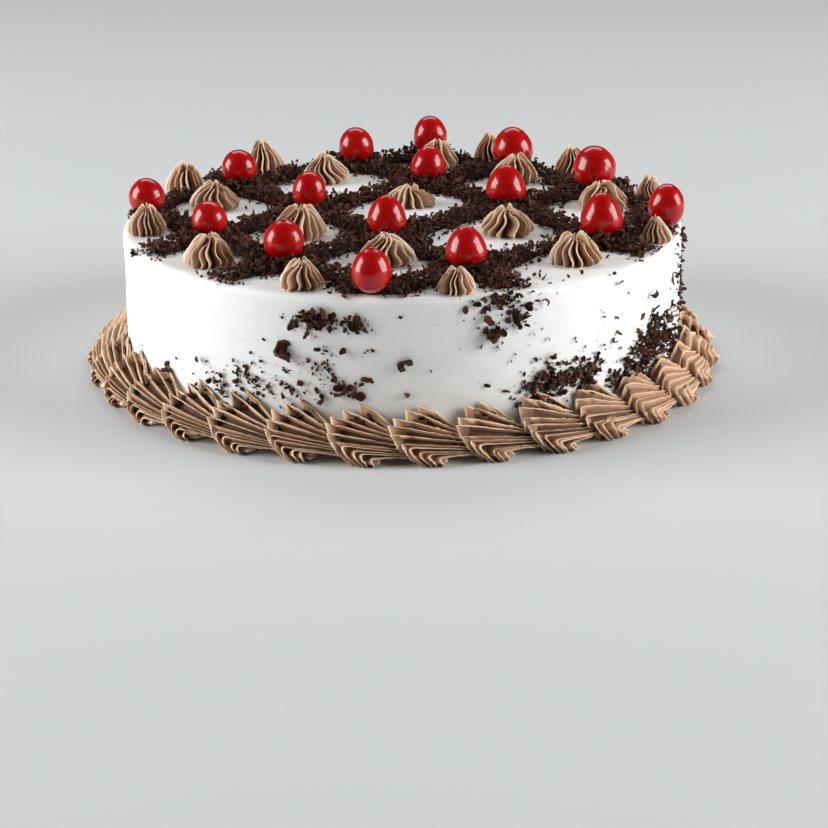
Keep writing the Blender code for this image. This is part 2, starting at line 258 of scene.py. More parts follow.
def tint_by_mark(material, mark, shade, amount):
    """Turns the finish towards a shade where the named mark on the points is high."""
    tree = material.node_tree
    coloured = tree.nodes["Principled BSDF"].inputs["Base Color"]
    before = coloured.links[0].from_socket
    marked = add_node(tree, "ShaderNodeAttribute", attribute_name=mark).outputs["Fac"]
    strength = add_node(tree, "ShaderNodeMath", {0: marked, 1: amount}, operation="MULTIPLY").outputs["Value"]
    feeds = {"Factor": strength, "A": before, "B": (*shade, 1.0)}
    blend = add_node(tree, "ShaderNodeMix", feeds, data_type="RGBA")
    tree.links.new(blend.outputs["Result"], coloured)


# Each finish, by the name of its material.
FINISHES = {
    "whipped_cream": dict(
        light=(0.90, 0.90, 0.885),
        dark=(0.86, 0.86, 0.84),
        patch_scale=35.0,
        grain_scale=700.0,
        roughness=(0.42, 0.58),
        bump=(0.12, 0.0004),
        subsurface_weight=0.25,
        subsurface_radius=(0.004, 0.0036, 0.003),
        subsurface_scale=1.0,
    ),
    "piped_chocolate_cream": dict(
        light=(0.55, 0.325, 0.192),
        dark=(0.46, 0.262, 0.15),
        patch_scale=160.0,
        grain_scale=1500.0,
        roughness=(0.50, 0.72),
        bump=(0.35, 0.0003),
        specular_ior_level=0.25,
        subsurface_weight=0.10,
        subsurface_radius=(0.0020, 0.0012, 0.0008),
        subsurface_scale=1.0,
    ),
    "dark_chocolate": dict(
        light=(0.027, 0.0095, 0.0055),
        dark=(0.008, 0.003, 0.0018),
        patch_scale=400.0,
        grain_scale=1800.0,
        roughness=(0.42, 0.7),
        bump=(0.5, 0.0003),
        specular_ior_level=0.14,
    ),
    "glazed_cherry": dict(
        light=(0.50, 0.0015, 0.0012),
        dark=(0.31, 0.0006, 0.0006),
        patch_scale=120.0,
        grain_scale=350.0,
        roughness=(0.25, 0.4),
        bump=(0.15, 0.0005),
        specular_ior_level=0.15,
        subsurface_weight=0.07,
        subsurface_radius=(0.003, 0.0003, 0.0002),
        subsurface_scale=1.0,
        coat_weight=0.75,
        coat_roughness=0.10,
    ),
}


def finishes():
    """The four materials: cream, chocolate cream, dark chocolate and glazed cherry."""
    mottle = mottle_group()
    cream, chocolate_cream, dark, glazed = [finish(name, mottle, **look) for name, look in FINISHES.items()]
    # Painted shade: the piping turns near black at the bottoms of its grooves, where that mark is high.
    tint_by_mark(chocolate_cream, "hollow", (0.06, 0.022, 0.010), 0.88)
    # Painted highlight: the piping turns pale along its blades' edges, where that mark is high.
    tint_by_mark(chocolate_cream, "ridge", (0.98, 0.77, 0.57), 1.0)
    tint_by_mark(dark, "tone", (0.125, 0.046, 0.027), 0.75)
    return cream, chocolate_cream, dark, glazed


# ---------------------------------------------------------------- the coat of cream


def coat_profile():
    """Radius and height from the foot up the side, round the rim and in over the top."""
    foot = [(CAKE_RADIUS - FOOT_ROUND, 0.0), (CAKE_RADIUS - 0.3 * FOOT_ROUND, 0.3 * FOOT_ROUND)]
    side = [(CAKE_RADIUS, z) for z in np.linspace(FOOT_ROUND, CAKE_TOP - RIM_ROUND, 48)]
    rim = []
    for turn in np.radians(np.linspace(0.0, 90.0, 11)[1:]):
        inwards, down = RIM_ROUND * (1.0 - math.cos(turn)), RIM_ROUND * (1.0 - math.sin(turn))
        rim.append((CAKE_RADIUS - inwards, CAKE_TOP - down))
    top = [(radius, CAKE_TOP) for radius in np.linspace(CAKE_RADIUS - RIM_ROUND, 1.5 * MM, 36)[1:]]
    return np.array(foot + side + rim + top)


def cream_coat(material):
    """The coat as a spatula leaves it: faint bands round the side and swirls on top."""
    profile = coat_profile()
    angles = np.linspace(0.0, 2.0 * math.pi, COAT_SEGMENTS, endpoint=False)
    radius = profile[:, 0][:, None] * np.ones(COAT_SEGMENTS)
    height = profile[:, 1][:, None] * np.ones(COAT_SEGMENTS)
    round_x, round_y = np.cos(angles), np.sin(angles)
    flat = np.stack([CAKE_RADIUS * round_x, CAKE_RADIUS * round_y], axis=-1)
    flat = np.broadcast_to(flat, (len(profile), COAT_SEGMENTS, 2))
    banded = np.concatenate([flat, 4.0 * height[..., None]], axis=-1)
    on_side = soft_step(0.0, 0.004, height) * soft_step(0.88 * CAKE_RADIUS, 0.99 * CAKE_RADIUS, radius)
    bands = 0.5 + 0.5 * ripples(banded, 0.075, 3) + 0.35 * ripples(banded, 0.021, 4)
    radius = radius - COAT_WAVE * on_side * bands
    spread = np.stack([radius * round_x, radius * round_y, height], axis=-1)
    on_top = soft_step(0.99 * CAKE_TOP, CAKE_TOP, height)
    spread[..., 2] -= COAT_WAVE * on_top * (0.5 + 0.5 * ripples(spread, 0.045, 5))
    points, faces = closed_rings(spread, (0.0, 0.0, 0.0), (0.0, 0.0, CAKE_TOP - 0.5 * COAT_WAVE))
    piece("cream_coat", mesh_of("cream_coat", points, faces), material, ["cake_body"])


# ---------------------------------------------------------------- ridged piping

# A star nozzle leaves thin blades of cream that hang a little over the groove on one side. From one blade to
# the next, places are taken closer together near the blades.
BLADE_SHARES = np.array([0.0, 0.035, 0.08, 0.14, 0.22, 0.32, 0.44, 0.58, 0.72, 0.84, 0.93, 0.975])
BLADE_EDGE = 0.24  # depth down the groove where a blade's edge ends, for its painted highlight and its overhang
LOBE_ROUND = 1.7  # how round the lobes of soft cream are
BLADE_FLAT = 0.04  # how wide the edge is, as a share of the way to the next blade


def groove_depth(lean, sharp, soft=0.0):
    """How far down its groove each place lies, 0 on a blade: a quick fall beside it, then a rise to the next.

    Soft cream has round lobes with narrow grooves instead of thin blades with wide ones."""
    lean = np.asarray(lean)[:, None]
    before = np.clip(1.0 - (BLADE_SHARES - BLADE_FLAT) / lean, 0.0, 1.0)
    after = np.clip((BLADE_SHARES - lean) / (1.0 - lean), 0.0, 1.0)
    bladed = np.minimum(1.0 - before**2, 1.0 - after**sharp)
    lobed = (1.0 - np.maximum(before, after)) ** LOBE_ROUND
    return bladed + soft * (lobed - bladed)


def edge_of(depth):
    """1 on a blade's edge, fading to 0 a little way down."""
    return np.clip(1.0 - depth / BLADE_EDGE, 0.0, 1.0)


def blade_marks(depth, strength, painted_shade_strength=1.0):
    """Marks for a form of stacked rings with two poles: painted highlight on its blades' edges, painted shade
    in its grooves' bottoms.
    """
    return {
        "ridge": np.append(edge_of(depth) * strength, [0.0, 0.0]),
        "hollow": np.append(soft_step(0.45, 1.0, depth) * strength * painted_shade_strength, [0.0, 0.0]),
    }


# ---------------------------------------------------------------- rosettes

# Levels of a rosette, from its foot over its crown and down into the hollow.
ROSETTE_HEIGHTS = (0.0, 0.08, 0.20, 0.36, 0.53, 0.70, 0.86, 0.97, 1.0, 0.93, 0.86)
ROSETTE_WIDTHS = (0.80, 0.95, 1.0, 0.95, 0.85, 0.71, 0.54, 0.39, 0.27, 0.14, 0.04)
ROSETTE_GROOVES = (0.22, 0.32, 0.38, 0.42, 0.46, 0.50, 0.54, 0.58, 0.56, 0.36, 0.10)
# Rosettes with blades that ran together on one side: that side's angle, in degrees, and how far they did.
SLUMPED = {"rosette_05": (-20.0, 0.75), "rosette_11": (-12.0, 0.95)}
SLUMP_WIDTH = 0.75  # in radians
ROSETTE_SHARP = 2.8  # how thin the blades are at the crest
ROSETTE_OVERHANG = 0.05  # turn of a blade's edge over its groove, in radians
ROSETTE_SLIM = (0.95, 1.55)  # a dome at the low end, a cone at the high end


def ridged_columns(ridges, draw):
    """Columns round a rosette: angle, how far each lies down its groove, and the blade that it belongs to."""
    starts = (np.arange(ridges) + draw.uniform(-0.25, 0.25, ridges)) / ridges
    widths = np.diff(np.append(starts, starts[0] + 1.0))
    turns = 2.0 * math.pi * (starts[:, None] + widths[:, None] * BLADE_SHARES)
    depth = groove_depth(draw.uniform(0.22, 0.42, ridges), ROSETTE_SHARP)
    blade = np.arange(ridges)[:, None] + (BLADE_SHARES > 0.5)
    return turns.ravel(), depth.ravel(), blade.ravel() % ridges


def rosette(node, material):
    """A piped star rosette: ridges that bulge at the foot, sway as they rise and part at the crown."""
    low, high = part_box(node)
    number = int(node[-2:])
    draw = np.random.default_rng(100 + number)
    middle = middle_of(node)
    radius = 0.25 * (high.x - low.x + high.y - low.y) * 1.02
    height = high.z - low.z + 0.4 * MM
    ridges = int(draw.integers(14, 18))
    turns, down, nearest = ridged_columns(ridges, draw)
    levels = np.linspace(0.0, len(ROSETTE_HEIGHTS) - 1.0, ROSETTE_ROWS)
    rise = smooth_curve(ROSETTE_HEIGHTS, levels)[:, None]
    width = smooth_curve(ROSETTE_WIDTHS, levels)[:, None]
    groove = smooth_curve(ROSETTE_GROOVES, levels)[:, None]
    ridge_reach = draw.uniform(0.93, 1.06, ridges)[nearest]
    ridge_tip = draw.uniform(-0.18, 0.09, ridges)[nearest]
    ridge_curl = draw.uniform(-0.25, 0.3, ridges)[nearest]
    groove_share = (1.0 + draw.uniform(-0.2, 0.35, ridges))[nearest]
    twist = draw.uniform(-0.45, 0.45)
    sway = draw.uniform(0.04, 0.14) * draw.choice([-1.0, 1.0])
    swell_side, swell = draw.uniform(0.0, 2.0 * math.pi), draw.uniform(0.03, 0.14)
    angle = turns[None, :] + twist * rise + sway * np.sin(2.6 * math.pi * rise)
    parting = draw.uniform(-math.pi, math.pi)
    from_parting = np.abs(np.angle(np.exp(1j * (angle - parting))))
    parted = draw.choice([0.0, 0.0, 0.3, 0.5]) * np.exp(-((from_parting / 0.42) ** 2)) * down
    slump_side, slump = SLUMPED.get(node, (0.0, 0.0))
    from_slump = np.abs(np.angle(np.exp(1j * (angle - math.radians(slump_side)))))
    slumped = slump * np.exp(-((from_slump / SLUMP_WIDTH) ** 2))
    hang = ROSETTE_OVERHANG * edge_of(down) * soft_step(0.04, 0.2, groove)
    angle = angle + hang * draw.choice([-1.0, 1.0])
    slim = draw.uniform(*ROSETTE_SLIM)
    cut = groove * (groove_share * down * (1.0 - 0.9 * slumped) + parted)
    reach = radius * width**slim * ridge_reach * (1.0 - cut)
    reach = reach * (1.0 + swell * np.cos(angle - swell_side) + 0.22 * slumped * (1.0 - rise))
    crown = soft_step(0.7, 1.0, rise)
    reach = reach * (1.0 + crown * ridge_curl)
    z = height * (rise * (1.0 - 0.2 * slumped) + crown * (ridge_tip - 0.2 * down - 0.3 * parted))
    lean = draw.normal(size=2) * 0.05 * height
    x = middle[0] + reach * np.cos(angle) + lean[0] * rise**1.5
    y = middle[1] + reach * np.sin(angle) + lean[1] * rise**1.5
    rings = np.stack(np.broadcast_arrays(x, y, low.z - 0.6 * MM + z), axis=-1)
    rings = rings + 0.06 * MM * ripples(rings, 1.6 * MM, number)[..., None]
    bottom = (middle[0], middle[1], low.z - 0.6 * MM)
    top = rings[-1].mean(axis=0)
    points, faces = closed_rings(rings, bottom, top)
    # Painted highlight on the blades' edges and painted shade in the grooves, faint where the blades ran
    # together; the shade weakens over the crown.
    marks = blade_marks(down, 1.0 - slumped, 1.0 - 0.6 * crown)
    mesh = mesh_of(node + "_piping", points, faces, marks)
    piece(node + "_piping", mesh, material, [node])


# ---------------------------------------------------------------- the shell border

# A shell is a fan of blades of cream. Each blade leaves the tail, climbs to a corner at the head and turns
# down to its foot. The stations go round the fan, from the blade at the top against the cake, over the front,
# to the lowest blade, and then back under the shell. In mm: corner, foot and tail, each as (along the border,
# out, up), the depth of the grooves at the corner, and how far the blade's tip stands free there.
SHELL_STATIONS = MM * np.array(
    [
        (8.4, 0.7, 15.6, 9.0, 0.3, 6.0, 26.0, 5.6, 4.6, 3.2, 3.2),
        (5.2, 1.4, 15.6, 5.5, 0.5, 5.0, 26.0, 6.0, 5.6, 3.4, 3.4),
        (2.0, 2.8, 15.4, 2.5, 1.5, 3.0, 26.0, 6.8, 6.2, 3.4, 3.2),
        (-0.8, 4.8, 14.4, 0.8, 3.5, 1.0, 26.0, 7.8, 6.6, 3.2, 2.8),
        (-2.6, 7.2, 12.7, 0.4, 5.5, 0.0, 26.0, 8.8, 6.4, 3.0, 2.2),
        (-3.2, 9.8, 10.8, 1.6, 9.2, 0.0, 26.0, 9.8, 5.8, 2.6, 1.3),
        (-2.4, 12.0, 8.9, 3.8, 12.6, 0.0, 26.0, 10.6, 5.0, 2.4, 0.7),
        (0.6, 13.6, 7.2, 5.8, 14.2, 0.0, 26.0, 11.2, 4.2, 2.1, 0.3),
        (4.4, 14.4, 5.6, 7.8, 14.6, 0.0, 26.0, 11.6, 3.4, 1.9, 0.2),
        (8.0, 14.4, 4.0, 10.0, 14.4, 0.0, 26.0, 11.6, 2.7, 1.6, 0.0),
        (11.2, 13.6, 2.8, 12.0, 13.4, 0.0, 26.0, 11.0, 2.1, 1.1, 0.0),
        (13.0, 9.6, 2.0, 13.0, 9.0, 0.0, 26.0, 9.0, 1.8, 0.0, 0.0),
        (13.0, 4.0, 2.4, 12.5, 3.5, 0.0, 26.0, 6.6, 2.0, 0.0, 0.0),
        (11.0, 0.3, 9.0, 11.0, 0.3, 3.0, 26.0, 5.4, 3.0, 0.0, 0.0),
    ]
)
# Stations of the blades: a close pair at the top, wide fins beside it, then the rest of the fan.
BLADES = np.array([-0.25, 0.25, 1.75, 3.3, 4.35, 5.35, 6.3, 7.2, 8.05, 8.9, 9.7])
BLADES_END = 10.5
BLADE_SHARP = 3.0
BLADE_JITTER = 0.13
SHELL_BACK = 14  # columns round the part that doesn't show
SHELL_CORE = np.array([9.0, 5.0, 4.0]) * MM
SHELL_BULGE = 1.5 * MM
SHELL_ARCH = 0.9 * MM
SHELL_LIFT = 0.5 * MM
PLUMP_CORNER = np.array([1.2, -0.6, -0.2]) * MM  # how a soft shell's head is rounder: its corner draws back
PLUMP_RISE = np.array([-1.6, 0.0, 0.8]) * MM  # and its front swells
SOFT_SHELLS = {0: 0.4, 11: 0.3, 12: 0.8, 13: 1.0, 14: 1.0, 15: 1.0}  # forms piped plump, with shallow grooves
POINTED_TIP = 1.6 * MM  # a tip that stands this far free is pointed, not rounded
SHELL_MIDDLE = 8.0 * MM  # the way out to the middle of the border
SHELL_SHIFT = 0.9 * MM  # puts each shell's head at its place along the border
SHELL_GROOVES = (0.6, 0.95, 1.0, 0.8, 0.55, 0.2)  # their depth from foot to tail, as a share of the corner's
DEEPEST = 3.3 * MM  # the most that a groove is cut in
BLADE_OVERHANG = 0.45 * MM
TORN = 0.25 * MM  # how rough the cream is where a tail was pulled off


def blade_columns(draw, soft):
    """Columns round a shell: their station and how far each lies down its groove, 0 on a blade."""
    edges = np.append(BLADES + draw.uniform(-BLADE_JITTER, BLADE_JITTER, len(BLADES)), BLADES_END)
    shown = (edges[:-1, None] + np.diff(edges)[:, None] * BLADE_SHARES).ravel()
    wide = np.minimum(np.diff(edges), 1.3)[:, None]
    down = groove_depth(draw.uniform(0.25, 0.45, len(BLADES)), BLADE_SHARP, soft)
    depth = wide * draw.uniform(1.0, 1.45, len(BLADES))[:, None] * down
    back = np.linspace(BLADES_END, len(SHELL_STATIONS) + edges[0], SHELL_BACK, endpoint=False)
    return np.append(shown, back), np.append(depth.ravel(), np.zeros(SHELL_BACK))


def unit(vectors):
    return vectors / np.maximum(np.linalg.norm(vectors, axis=-1, keepdims=True), 1e-12)


def sides_of(grid):
    """Outward normals, and directions from column to column, of a grid whose columns close on themselves."""
    round_it = np.roll(grid, -1, axis=1) - np.roll(grid, 1, axis=1)
    return unit(np.cross(np.gradient(grid, axis=0), round_it)), unit(round_it)


def shell_form(number):
    """One shell as a mesh: x out from the cake, y along the border towards the tail, bent to the ring."""
    draw = np.random.default_rng(300 + number)
    soft = SOFT_SHELLS.get(number, 0.0)
    column, groove = blade_columns(draw, soft)
    shown = np.where(column < BLADES_END, 1.0, 0.0)
    stations = smooth_curve(SHELL_STATIONS, column, closed=True)
    jitter = smooth_curve(draw.normal(size=(len(SHELL_STATIONS), 3)), column, closed=True) * 0.4 * MM
    corner, foot, tail = stations[:, 0:3] + jitter, stations[:, 3:6] + 0.5 * jitter, stations[:, 6:9]
    corner = corner + soft * shown[:, None] * PLUMP_CORNER
    nearest = np.argmin(np.abs(column[:, None] - BLADES[None, :]), axis=1)
    tips = draw.uniform(0.65, 1.2, len(BLADES))[nearest]
    free = (1.25 - 1.1 * soft) * stations[:, 10] * tips * shown * (1.0 - np.minimum(groove, 1.0)) ** 1.4
    free = free[:, None] * unit(corner - tail)
    outwards = corner - SHELL_CORE
    outwards[:, 2] = 0.0
    rise = foot + 0.55 * (corner - foot) + (1.0 + 0.3 * soft) * SHELL_BULGE * unit(outwards) + 0.4 * free
    rise = rise + soft * shown[:, None] * PLUMP_RISE
    arch = 1.0 - np.minimum(column, BLADES_END) / BLADES_END
    arch = (1.0 + 1.6 * soft) * SHELL_ARCH * arch[:, None] * unit(corner - SHELL_CORE)
    arch = arch + (0.0, 0.0, SHELL_LIFT)
    upper = corner + 0.2 * (tail - corner) + arch + 0.35 * free
    corner = corner + free
    lower = corner + 0.66 * (tail - corner) + (0.0, 0.0, 0.5 * MM)
    rows = np.linspace(0.0, 5.0, SHELL_ROWS)
    path = np.stack([foot, rise, corner, upper, lower, tail])
    before = np.minimum(rows.astype(int), len(path) - 2)
    part = (rows - before)[:, None, None]
    straight = path[before] * (1.0 - part) + path[before + 1] * part
    pointed = np.clip(np.linalg.norm(free, axis=-1, keepdims=True) / POINTED_TIP, 0.0, 1.0)
    grid = smooth_curve(path, rows)
    grid = grid + pointed * (straight - grid)
    along_blade = smooth_curve(SHELL_GROOVES, rows)[:, None]
    normal, next_column = sides_of(grid)
    cut = np.minimum(stations[:, 9] * groove, DEEPEST * (1.0 - 0.6 * soft))
    points = grid - normal * (along_blade * cut)[..., None]
    edge = edge_of(groove) * shown
    points = points + next_column * (BLADE_OVERHANG * along_blade * edge)[..., None]
    torn = soft_step(2.9, 3.8, rows)[:, None] * shown
    points = points + normal * (TORN * torn * ripples(points, 1.3 * MM, 70 + number))[..., None]
    points = points + 0.05 * MM * ripples(points, 1.8 * MM, 40 + number)[..., None]
    along = points[..., 0]
    out, up = np.maximum(points[..., 1], 0.15 * MM), np.maximum(points[..., 2], 0.0)
    turn = (along + SHELL_SHIFT) / (CAKE_RADIUS + SHELL_MIDDLE)
    ring = CAKE_RADIUS + out
    rings = np.stack([ring * np.cos(turn) - CAKE_RADIUS, ring * np.sin(turn), up], axis=-1)
    vertices, faces = closed_rings(rings, rings[0].mean(axis=0), rings[-1].mean(axis=0))
    # Painted highlight on the blades' edges and painted shade in the grooves, half as strong on the softest
    # shells.
    marks = blade_marks(groove, (1.0 - 0.5 * soft) * np.ones((SHELL_ROWS, 1)))
    mesh = mesh_of(f"shell_form_{number:02d}", vertices, faces, marks)
    return bpy.data.objects.new(mesh.name, mesh)


def shape_instances(tree, collection):
    """Adds the node that hands out a collection's shapes, each as an instance of its own."""
    feeds = {"Collection": collection, "Separate Children": True, "Reset Children": True}
    return add_node(tree, "GeometryNodeCollectionInfo", feeds).outputs["Instances"]


def random_number(tree, least, most, seed):
    """Adds a random number for each point or instance."""
    feeds = {2: least, 3: most, "Seed": seed}
    return add_node(tree, "FunctionNodeRandomValue", feeds, data_type="FLOAT").outputs[1]


def end_with_real(tree, instances, material):
    """Adds the end of a tree: makes the instances real, in the material, and gives them out."""
    real = add_node(tree, "GeometryNodeRealizeInstances", {"Geometry": instances}).outputs["Geometry"]
    coated = add_node(tree, "GeometryNodeSetMaterial", {"Geometry": real, "Material": material})
    add_node(tree, "NodeGroupOutput", {"Geometry": coated.outputs["Geometry"]})


def ring_tree():
    """Geometry Nodes: stands the forms of a collection round a ring, one after another."""
    sockets = {
        "Forms": "Collection",
        "Count": SHELL_COUNT,
        "First": 0,
        "Run": SHELL_COUNT,
        "Ring Radius": CAKE_RADIUS,
        "Least Size": 0.97,
        "Most Size": 1.02,
        "Seed": 0,
        "Material": "Material",
    }
    tree, given = new_group("forms_round_a_ring", "GeometryNodeTree", sockets, {"Geometry": "Geometry"})
    round_it = {"Vertices": given["Count"], "Radius": given["Ring Radius"]}
    ring = add_node(tree, "GeometryNodeMeshCircle", round_it)
    index = add_node(tree, "GeometryNodeInputIndex").outputs["Index"]
    end = add_node(tree, "ShaderNodeMath", {0: given["First"], 1: given["Run"]}, operation="ADD")
    tests = {}
    for limit, operation in ((given["First"], "GREATER_EQUAL"), (end.outputs["Value"], "LESS_THAN")):
        feeds = {"A": index, "B": limit}
        test = add_node(tree, "FunctionNodeCompare", feeds, data_type="INT", operation=operation)
        tests[len(tests)] = test.outputs["Result"]
    in_run = add_node(tree, "FunctionNodeBooleanMath", tests, operation="AND")
    place = {"Vector": add_node(tree, "GeometryNodeInputPosition").outputs["Position"]}
    outwards = add_node(tree, "FunctionNodeAlignRotationToVector", place, axis="X", pivot_axis="Z")
    feeds = {
        "Points": ring.outputs["Mesh"],
        "Selection": in_run.outputs["Boolean"],
        "Instance": shape_instances(tree, given["Forms"]),
        "Pick Instance": True,
        "Instance Index": index,
        "Rotation": outwards.outputs["Rotation"],
        "Scale": random_number(tree, given["Least Size"], given["Most Size"], given["Seed"]),
    }
    stand = add_node(tree, "GeometryNodeInstanceOnPoints", feeds)
    end_with_real(tree, stand.outputs["Instances"], given["Material"])
    return tree


def grown(name, tree, base, **values):
    """Runs a Geometry Nodes tree on a base mesh and returns the plain mesh that it makes."""
    carrier = bpy.data.objects.new(name, base)
    bpy.context.scene.collection.objects.link(carrier)
    modifier = carrier.modifiers.new("growth", "NODES")
    modifier.node_group = tree
    sockets = {item.name: item.identifier for item in tree.interface.items_tree if item.in_out == "INPUT"}
    for label, value in values.items():
        modifier[sockets[label.replace("_", " ").title()]] = value
    bpy.context.view_layer.update()
    evaluated = carrier.evaluated_get(bpy.context.evaluated_depsgraph_get())
    mesh = bpy.data.meshes.new_from_object(evaluated)
    mesh.name = name
    bpy.data.objects.remove(carrier)
    return mesh


def hidden_collection(name, things):
    """A collection of shapes that only Geometry Nodes read; it isn't linked to the scene."""
    collection = bpy.data.collections.new(name)
    for thing in things:
        collection.objects.link(thing)
    return collection


def shell_border(material):
    forms = hidden_collection("shell_forms", [shell_form(number) for number in range(SHELL_FORMS)])
    tree = ring_tree()
    run = SHELL_COUNT // SHELL_RUNS
    for number in range(SHELL_RUNS):
        name = f"piped_border_run_{number + 1}"
        base = bpy.data.meshes.new(name)
        mesh = grown(name, tree, base, forms=forms, first=number * run, run=run, material=material)
        piece(name, mesh, material, ["piped_border"])


# ---------------------------------------------------------------- cherries

CHERRY_ROWS = 52
CHERRY_SIDES = 72
ROUND_TAPER = 0.06
# Cherries that narrow towards the top, and how strongly.
TAPERS = {
    "cherry_07": 0.2,
    "cherry_08": 0.13,
    "cherry_10": 0.25,
    "cherry_11": 0.25,
    "cherry_14": 0.24,
    "cherry_15": 0.25,
}
TIPPED = ("cherry_10", "cherry_14")  # cherries that end in a small point
SCARRED = ("cherry_09", "cherry_13")  # cherries whose stalk left a raised scar
TIP_NARROWS = 0.12
SCAR_HEIGHT = 0.5 * MM
# How far its skin is dented and wrinkled, as a share of its width, and how far it leans.
WIDE_DENT, SMALL_DENT, WRINKLE, CHERRY_LEAN = 0.018, 0.006, 0.0028, 0.025


def cherry(node, material):
    """A glazed cherry: round or egg-shaped, a little dented, its skin finely wrinkled under the glaze."""
    low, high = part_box(node)
    number = int(node[-2:])
    draw = np.random.default_rng(500 + number)
    width = 0.5 * (high.x - low.x + high.y - low.y) * 1.01
    height = high.z - low.z
    turn = np.linspace(0.0, math.pi, CHERRY_ROWS + 2)[1:-1, None]
    angle = np.linspace(0.0, 2.0 * math.pi, CHERRY_SIDES, endpoint=False)[None, :]
    taper = TAPERS.get(node, ROUND_TAPER) + draw.uniform(-0.02, 0.02)
    reach = 0.5 * width * np.sin(turn) * (1.0 + taper * np.cos(turn)) / (1.0 + 0.5 * taper**2)
    rise = 0.5 * height * (1.0 - np.cos(turn))
    if node in TIPPED:
        reach = reach * (1.0 - TIP_NARROWS * soft_step(0.72, 0.95, turn / math.pi))
    if node in SCARRED:
        rise = rise + SCAR_HEIGHT * soft_step(0.91, 0.97, turn / math.pi)
    middle = 0.5 * (low + high)
    x, y, z = reach * np.cos(angle), reach * np.sin(angle), rise * np.ones_like(angle)
    rings = np.stack(np.broadcast_arrays(x, y, z), axis=-1)
    dent = WIDE_DENT * ripples(rings, 11.0 * MM, 60 + number)
    dent = dent + SMALL_DENT * ripples(rings, 4.0 * MM, 90 + number)
    wrinkle = WRINKLE * ripples(rings, 1.5 * MM, 120 + number, waves=24)
    rings[..., :2] *= (1.0 + dent + wrinkle)[..., None]
    lean = draw.normal(size=2) * CHERRY_LEAN
    rings[..., 0] += middle.x + lean[0] * rings[..., 2]
    rings[..., 1] += middle.y + lean[1] * rings[..., 2]
    rings[..., 2] += low.z
    bottom, top = rings[0].mean(axis=0), rings[-1].mean(axis=0)
    bottom[2] = low.z
    points, faces = closed_rings(rings, bottom, top)
    piece(node + "_glazed", mesh_of(node + "_glazed", points, faces), material, [node])


# ---------------------------------------------------------------- shavings


def bent_strip(outline, thick, curl):
    """Points and faces of a thin shaving: (length, half width) stations bent round a curl of that radius."""
    points = []
    for along, half in outline:
        turn = along / curl
        for side, level in ((-1, -1), (1, -1), (1, 1), (-1, 1)):
            inner = curl - 0.5 * thick * level
            points.append((inner * math.sin(turn), side * half, curl - inner * math.cos(turn)))
    faces = grid_faces(len(outline), 4)
    last = 4 * (len(outline) - 1)
    faces += [(3, 2, 1, 0), (last, last + 1, last + 2, last + 3)]
    return np.array(points), faces


def hard_shape(name, points, faces):
    """A small shape, given in mm, with broken, flat faces."""
    mesh = mesh_of(name, np.asarray(points) * MM, faces)
    mesh.shade_flat()
    return bpy.data.objects.new(name, mesh)


CRUMB_CORNERS = np.array([(x, y, z) for z in (-1, 1) for x, y in ((-1, -1), (1, -1), (1, 1), (-1, 1))])
CRUMB_FACES = [(0, 3, 2, 1), (4, 5, 6, 7), (0, 1, 5, 4), (1, 2, 6, 5), (2, 3, 7, 6), (3, 0, 4, 7)]


def crumb_shapes():
    """Broken crumbs: cubes pulled out of true."""
    draw = np.random.default_rng(21)
    shapes = []
    for number in range(10):
        sizes = draw.uniform((0.25, 0.2, 0.12), (0.95, 0.5, 0.32))
        points = CRUMB_CORNERS * sizes * draw.uniform(0.35, 1.35, (8, 3))
        shapes.append(hard_shape(f"crumb_shape_{number}", points, CRUMB_FACES))
    return hidden_collection("crumb_shapes", shapes)


def strip_shapes():
    """Short shards, hardly bent, with ragged ends."""
    draw = np.random.default_rng(22)
    shapes = []
    for number in range(10):
        stations = np.linspace(0.0, draw.uniform(1.2, 3.2), 5)
        halves = draw.uniform(0.25, 0.8, 5) * (0.5, 1.0, 1.0, 0.9, 0.35)
        strip = bent_strip(list(zip(stations, halves)), draw.uniform(0.16, 0.36), draw.uniform(0.9, 3.5))
        shapes.append(hard_shape(f"strip_shape_{number}", *strip))
    return hidden_collection("strip_shapes", shapes)


def curl_shapes():
    """Shavings rolled into a hook or most of a ring."""
    draw = np.random.default_rng(23)
    shapes = []
    for number in range(8):
        curl = draw.uniform(0.55, 1.0)
        stations = np.linspace(0.0, curl * draw.uniform(2.0, 4.4), 7)
        taper = np.array([0.6, 0.9, 1.0, 1.0, 0.95, 0.8, 0.4])
        halves = draw.uniform(0.4, 0.8) * taper * draw.uniform(0.8, 1.15, 7)
        strip = bent_strip(list(zip(stations, halves)), draw.uniform(0.2, 0.35), curl)
        shapes.append(hard_shape(f"curl_shape_{number}", *strip))
    return hidden_collection("curl_shapes", shapes)


def laid_group():
    """Geometry Nodes group: puts a random shape on each point, gives each its tone and makes them real."""
    sockets = {
        "Points": "Geometry",
        "Rotation": "Rotation",
        "Size": 1.0,
        "Shapes": "Collection",
        "Seed": 0,
        "Material": "Material",
    }
    group, given = new_group("lay_shapes", "GeometryNodeTree", sockets, {"Geometry": "Geometry"})
    any_shape = {4: 0, 5: 1000, "Seed": given["Seed"]}
    which = add_node(group, "FunctionNodeRandomValue", any_shape, data_type="INT").outputs[2]
    feeds = {
        "Points": given["Points"],
        "Instance": shape_instances(group, given["Shapes"]),
        "Pick Instance": True,
        "Instance Index": which,
        "Rotation": given["Rotation"],
        "Scale": given["Size"],
    }
    lay = add_node(group, "GeometryNodeInstanceOnPoints", feeds).outputs["Instances"]
    tone = {"Geometry": lay, "Name": "tone", "Value": random_number(group, 0.0, 1.0, given["Seed"])}
    noted = add_node(group, "GeometryNodeStoreNamedAttribute", tone, data_type="FLOAT", domain="INSTANCE")
    end_with_real(group, noted.outputs["Geometry"], given["Material"])
    return group


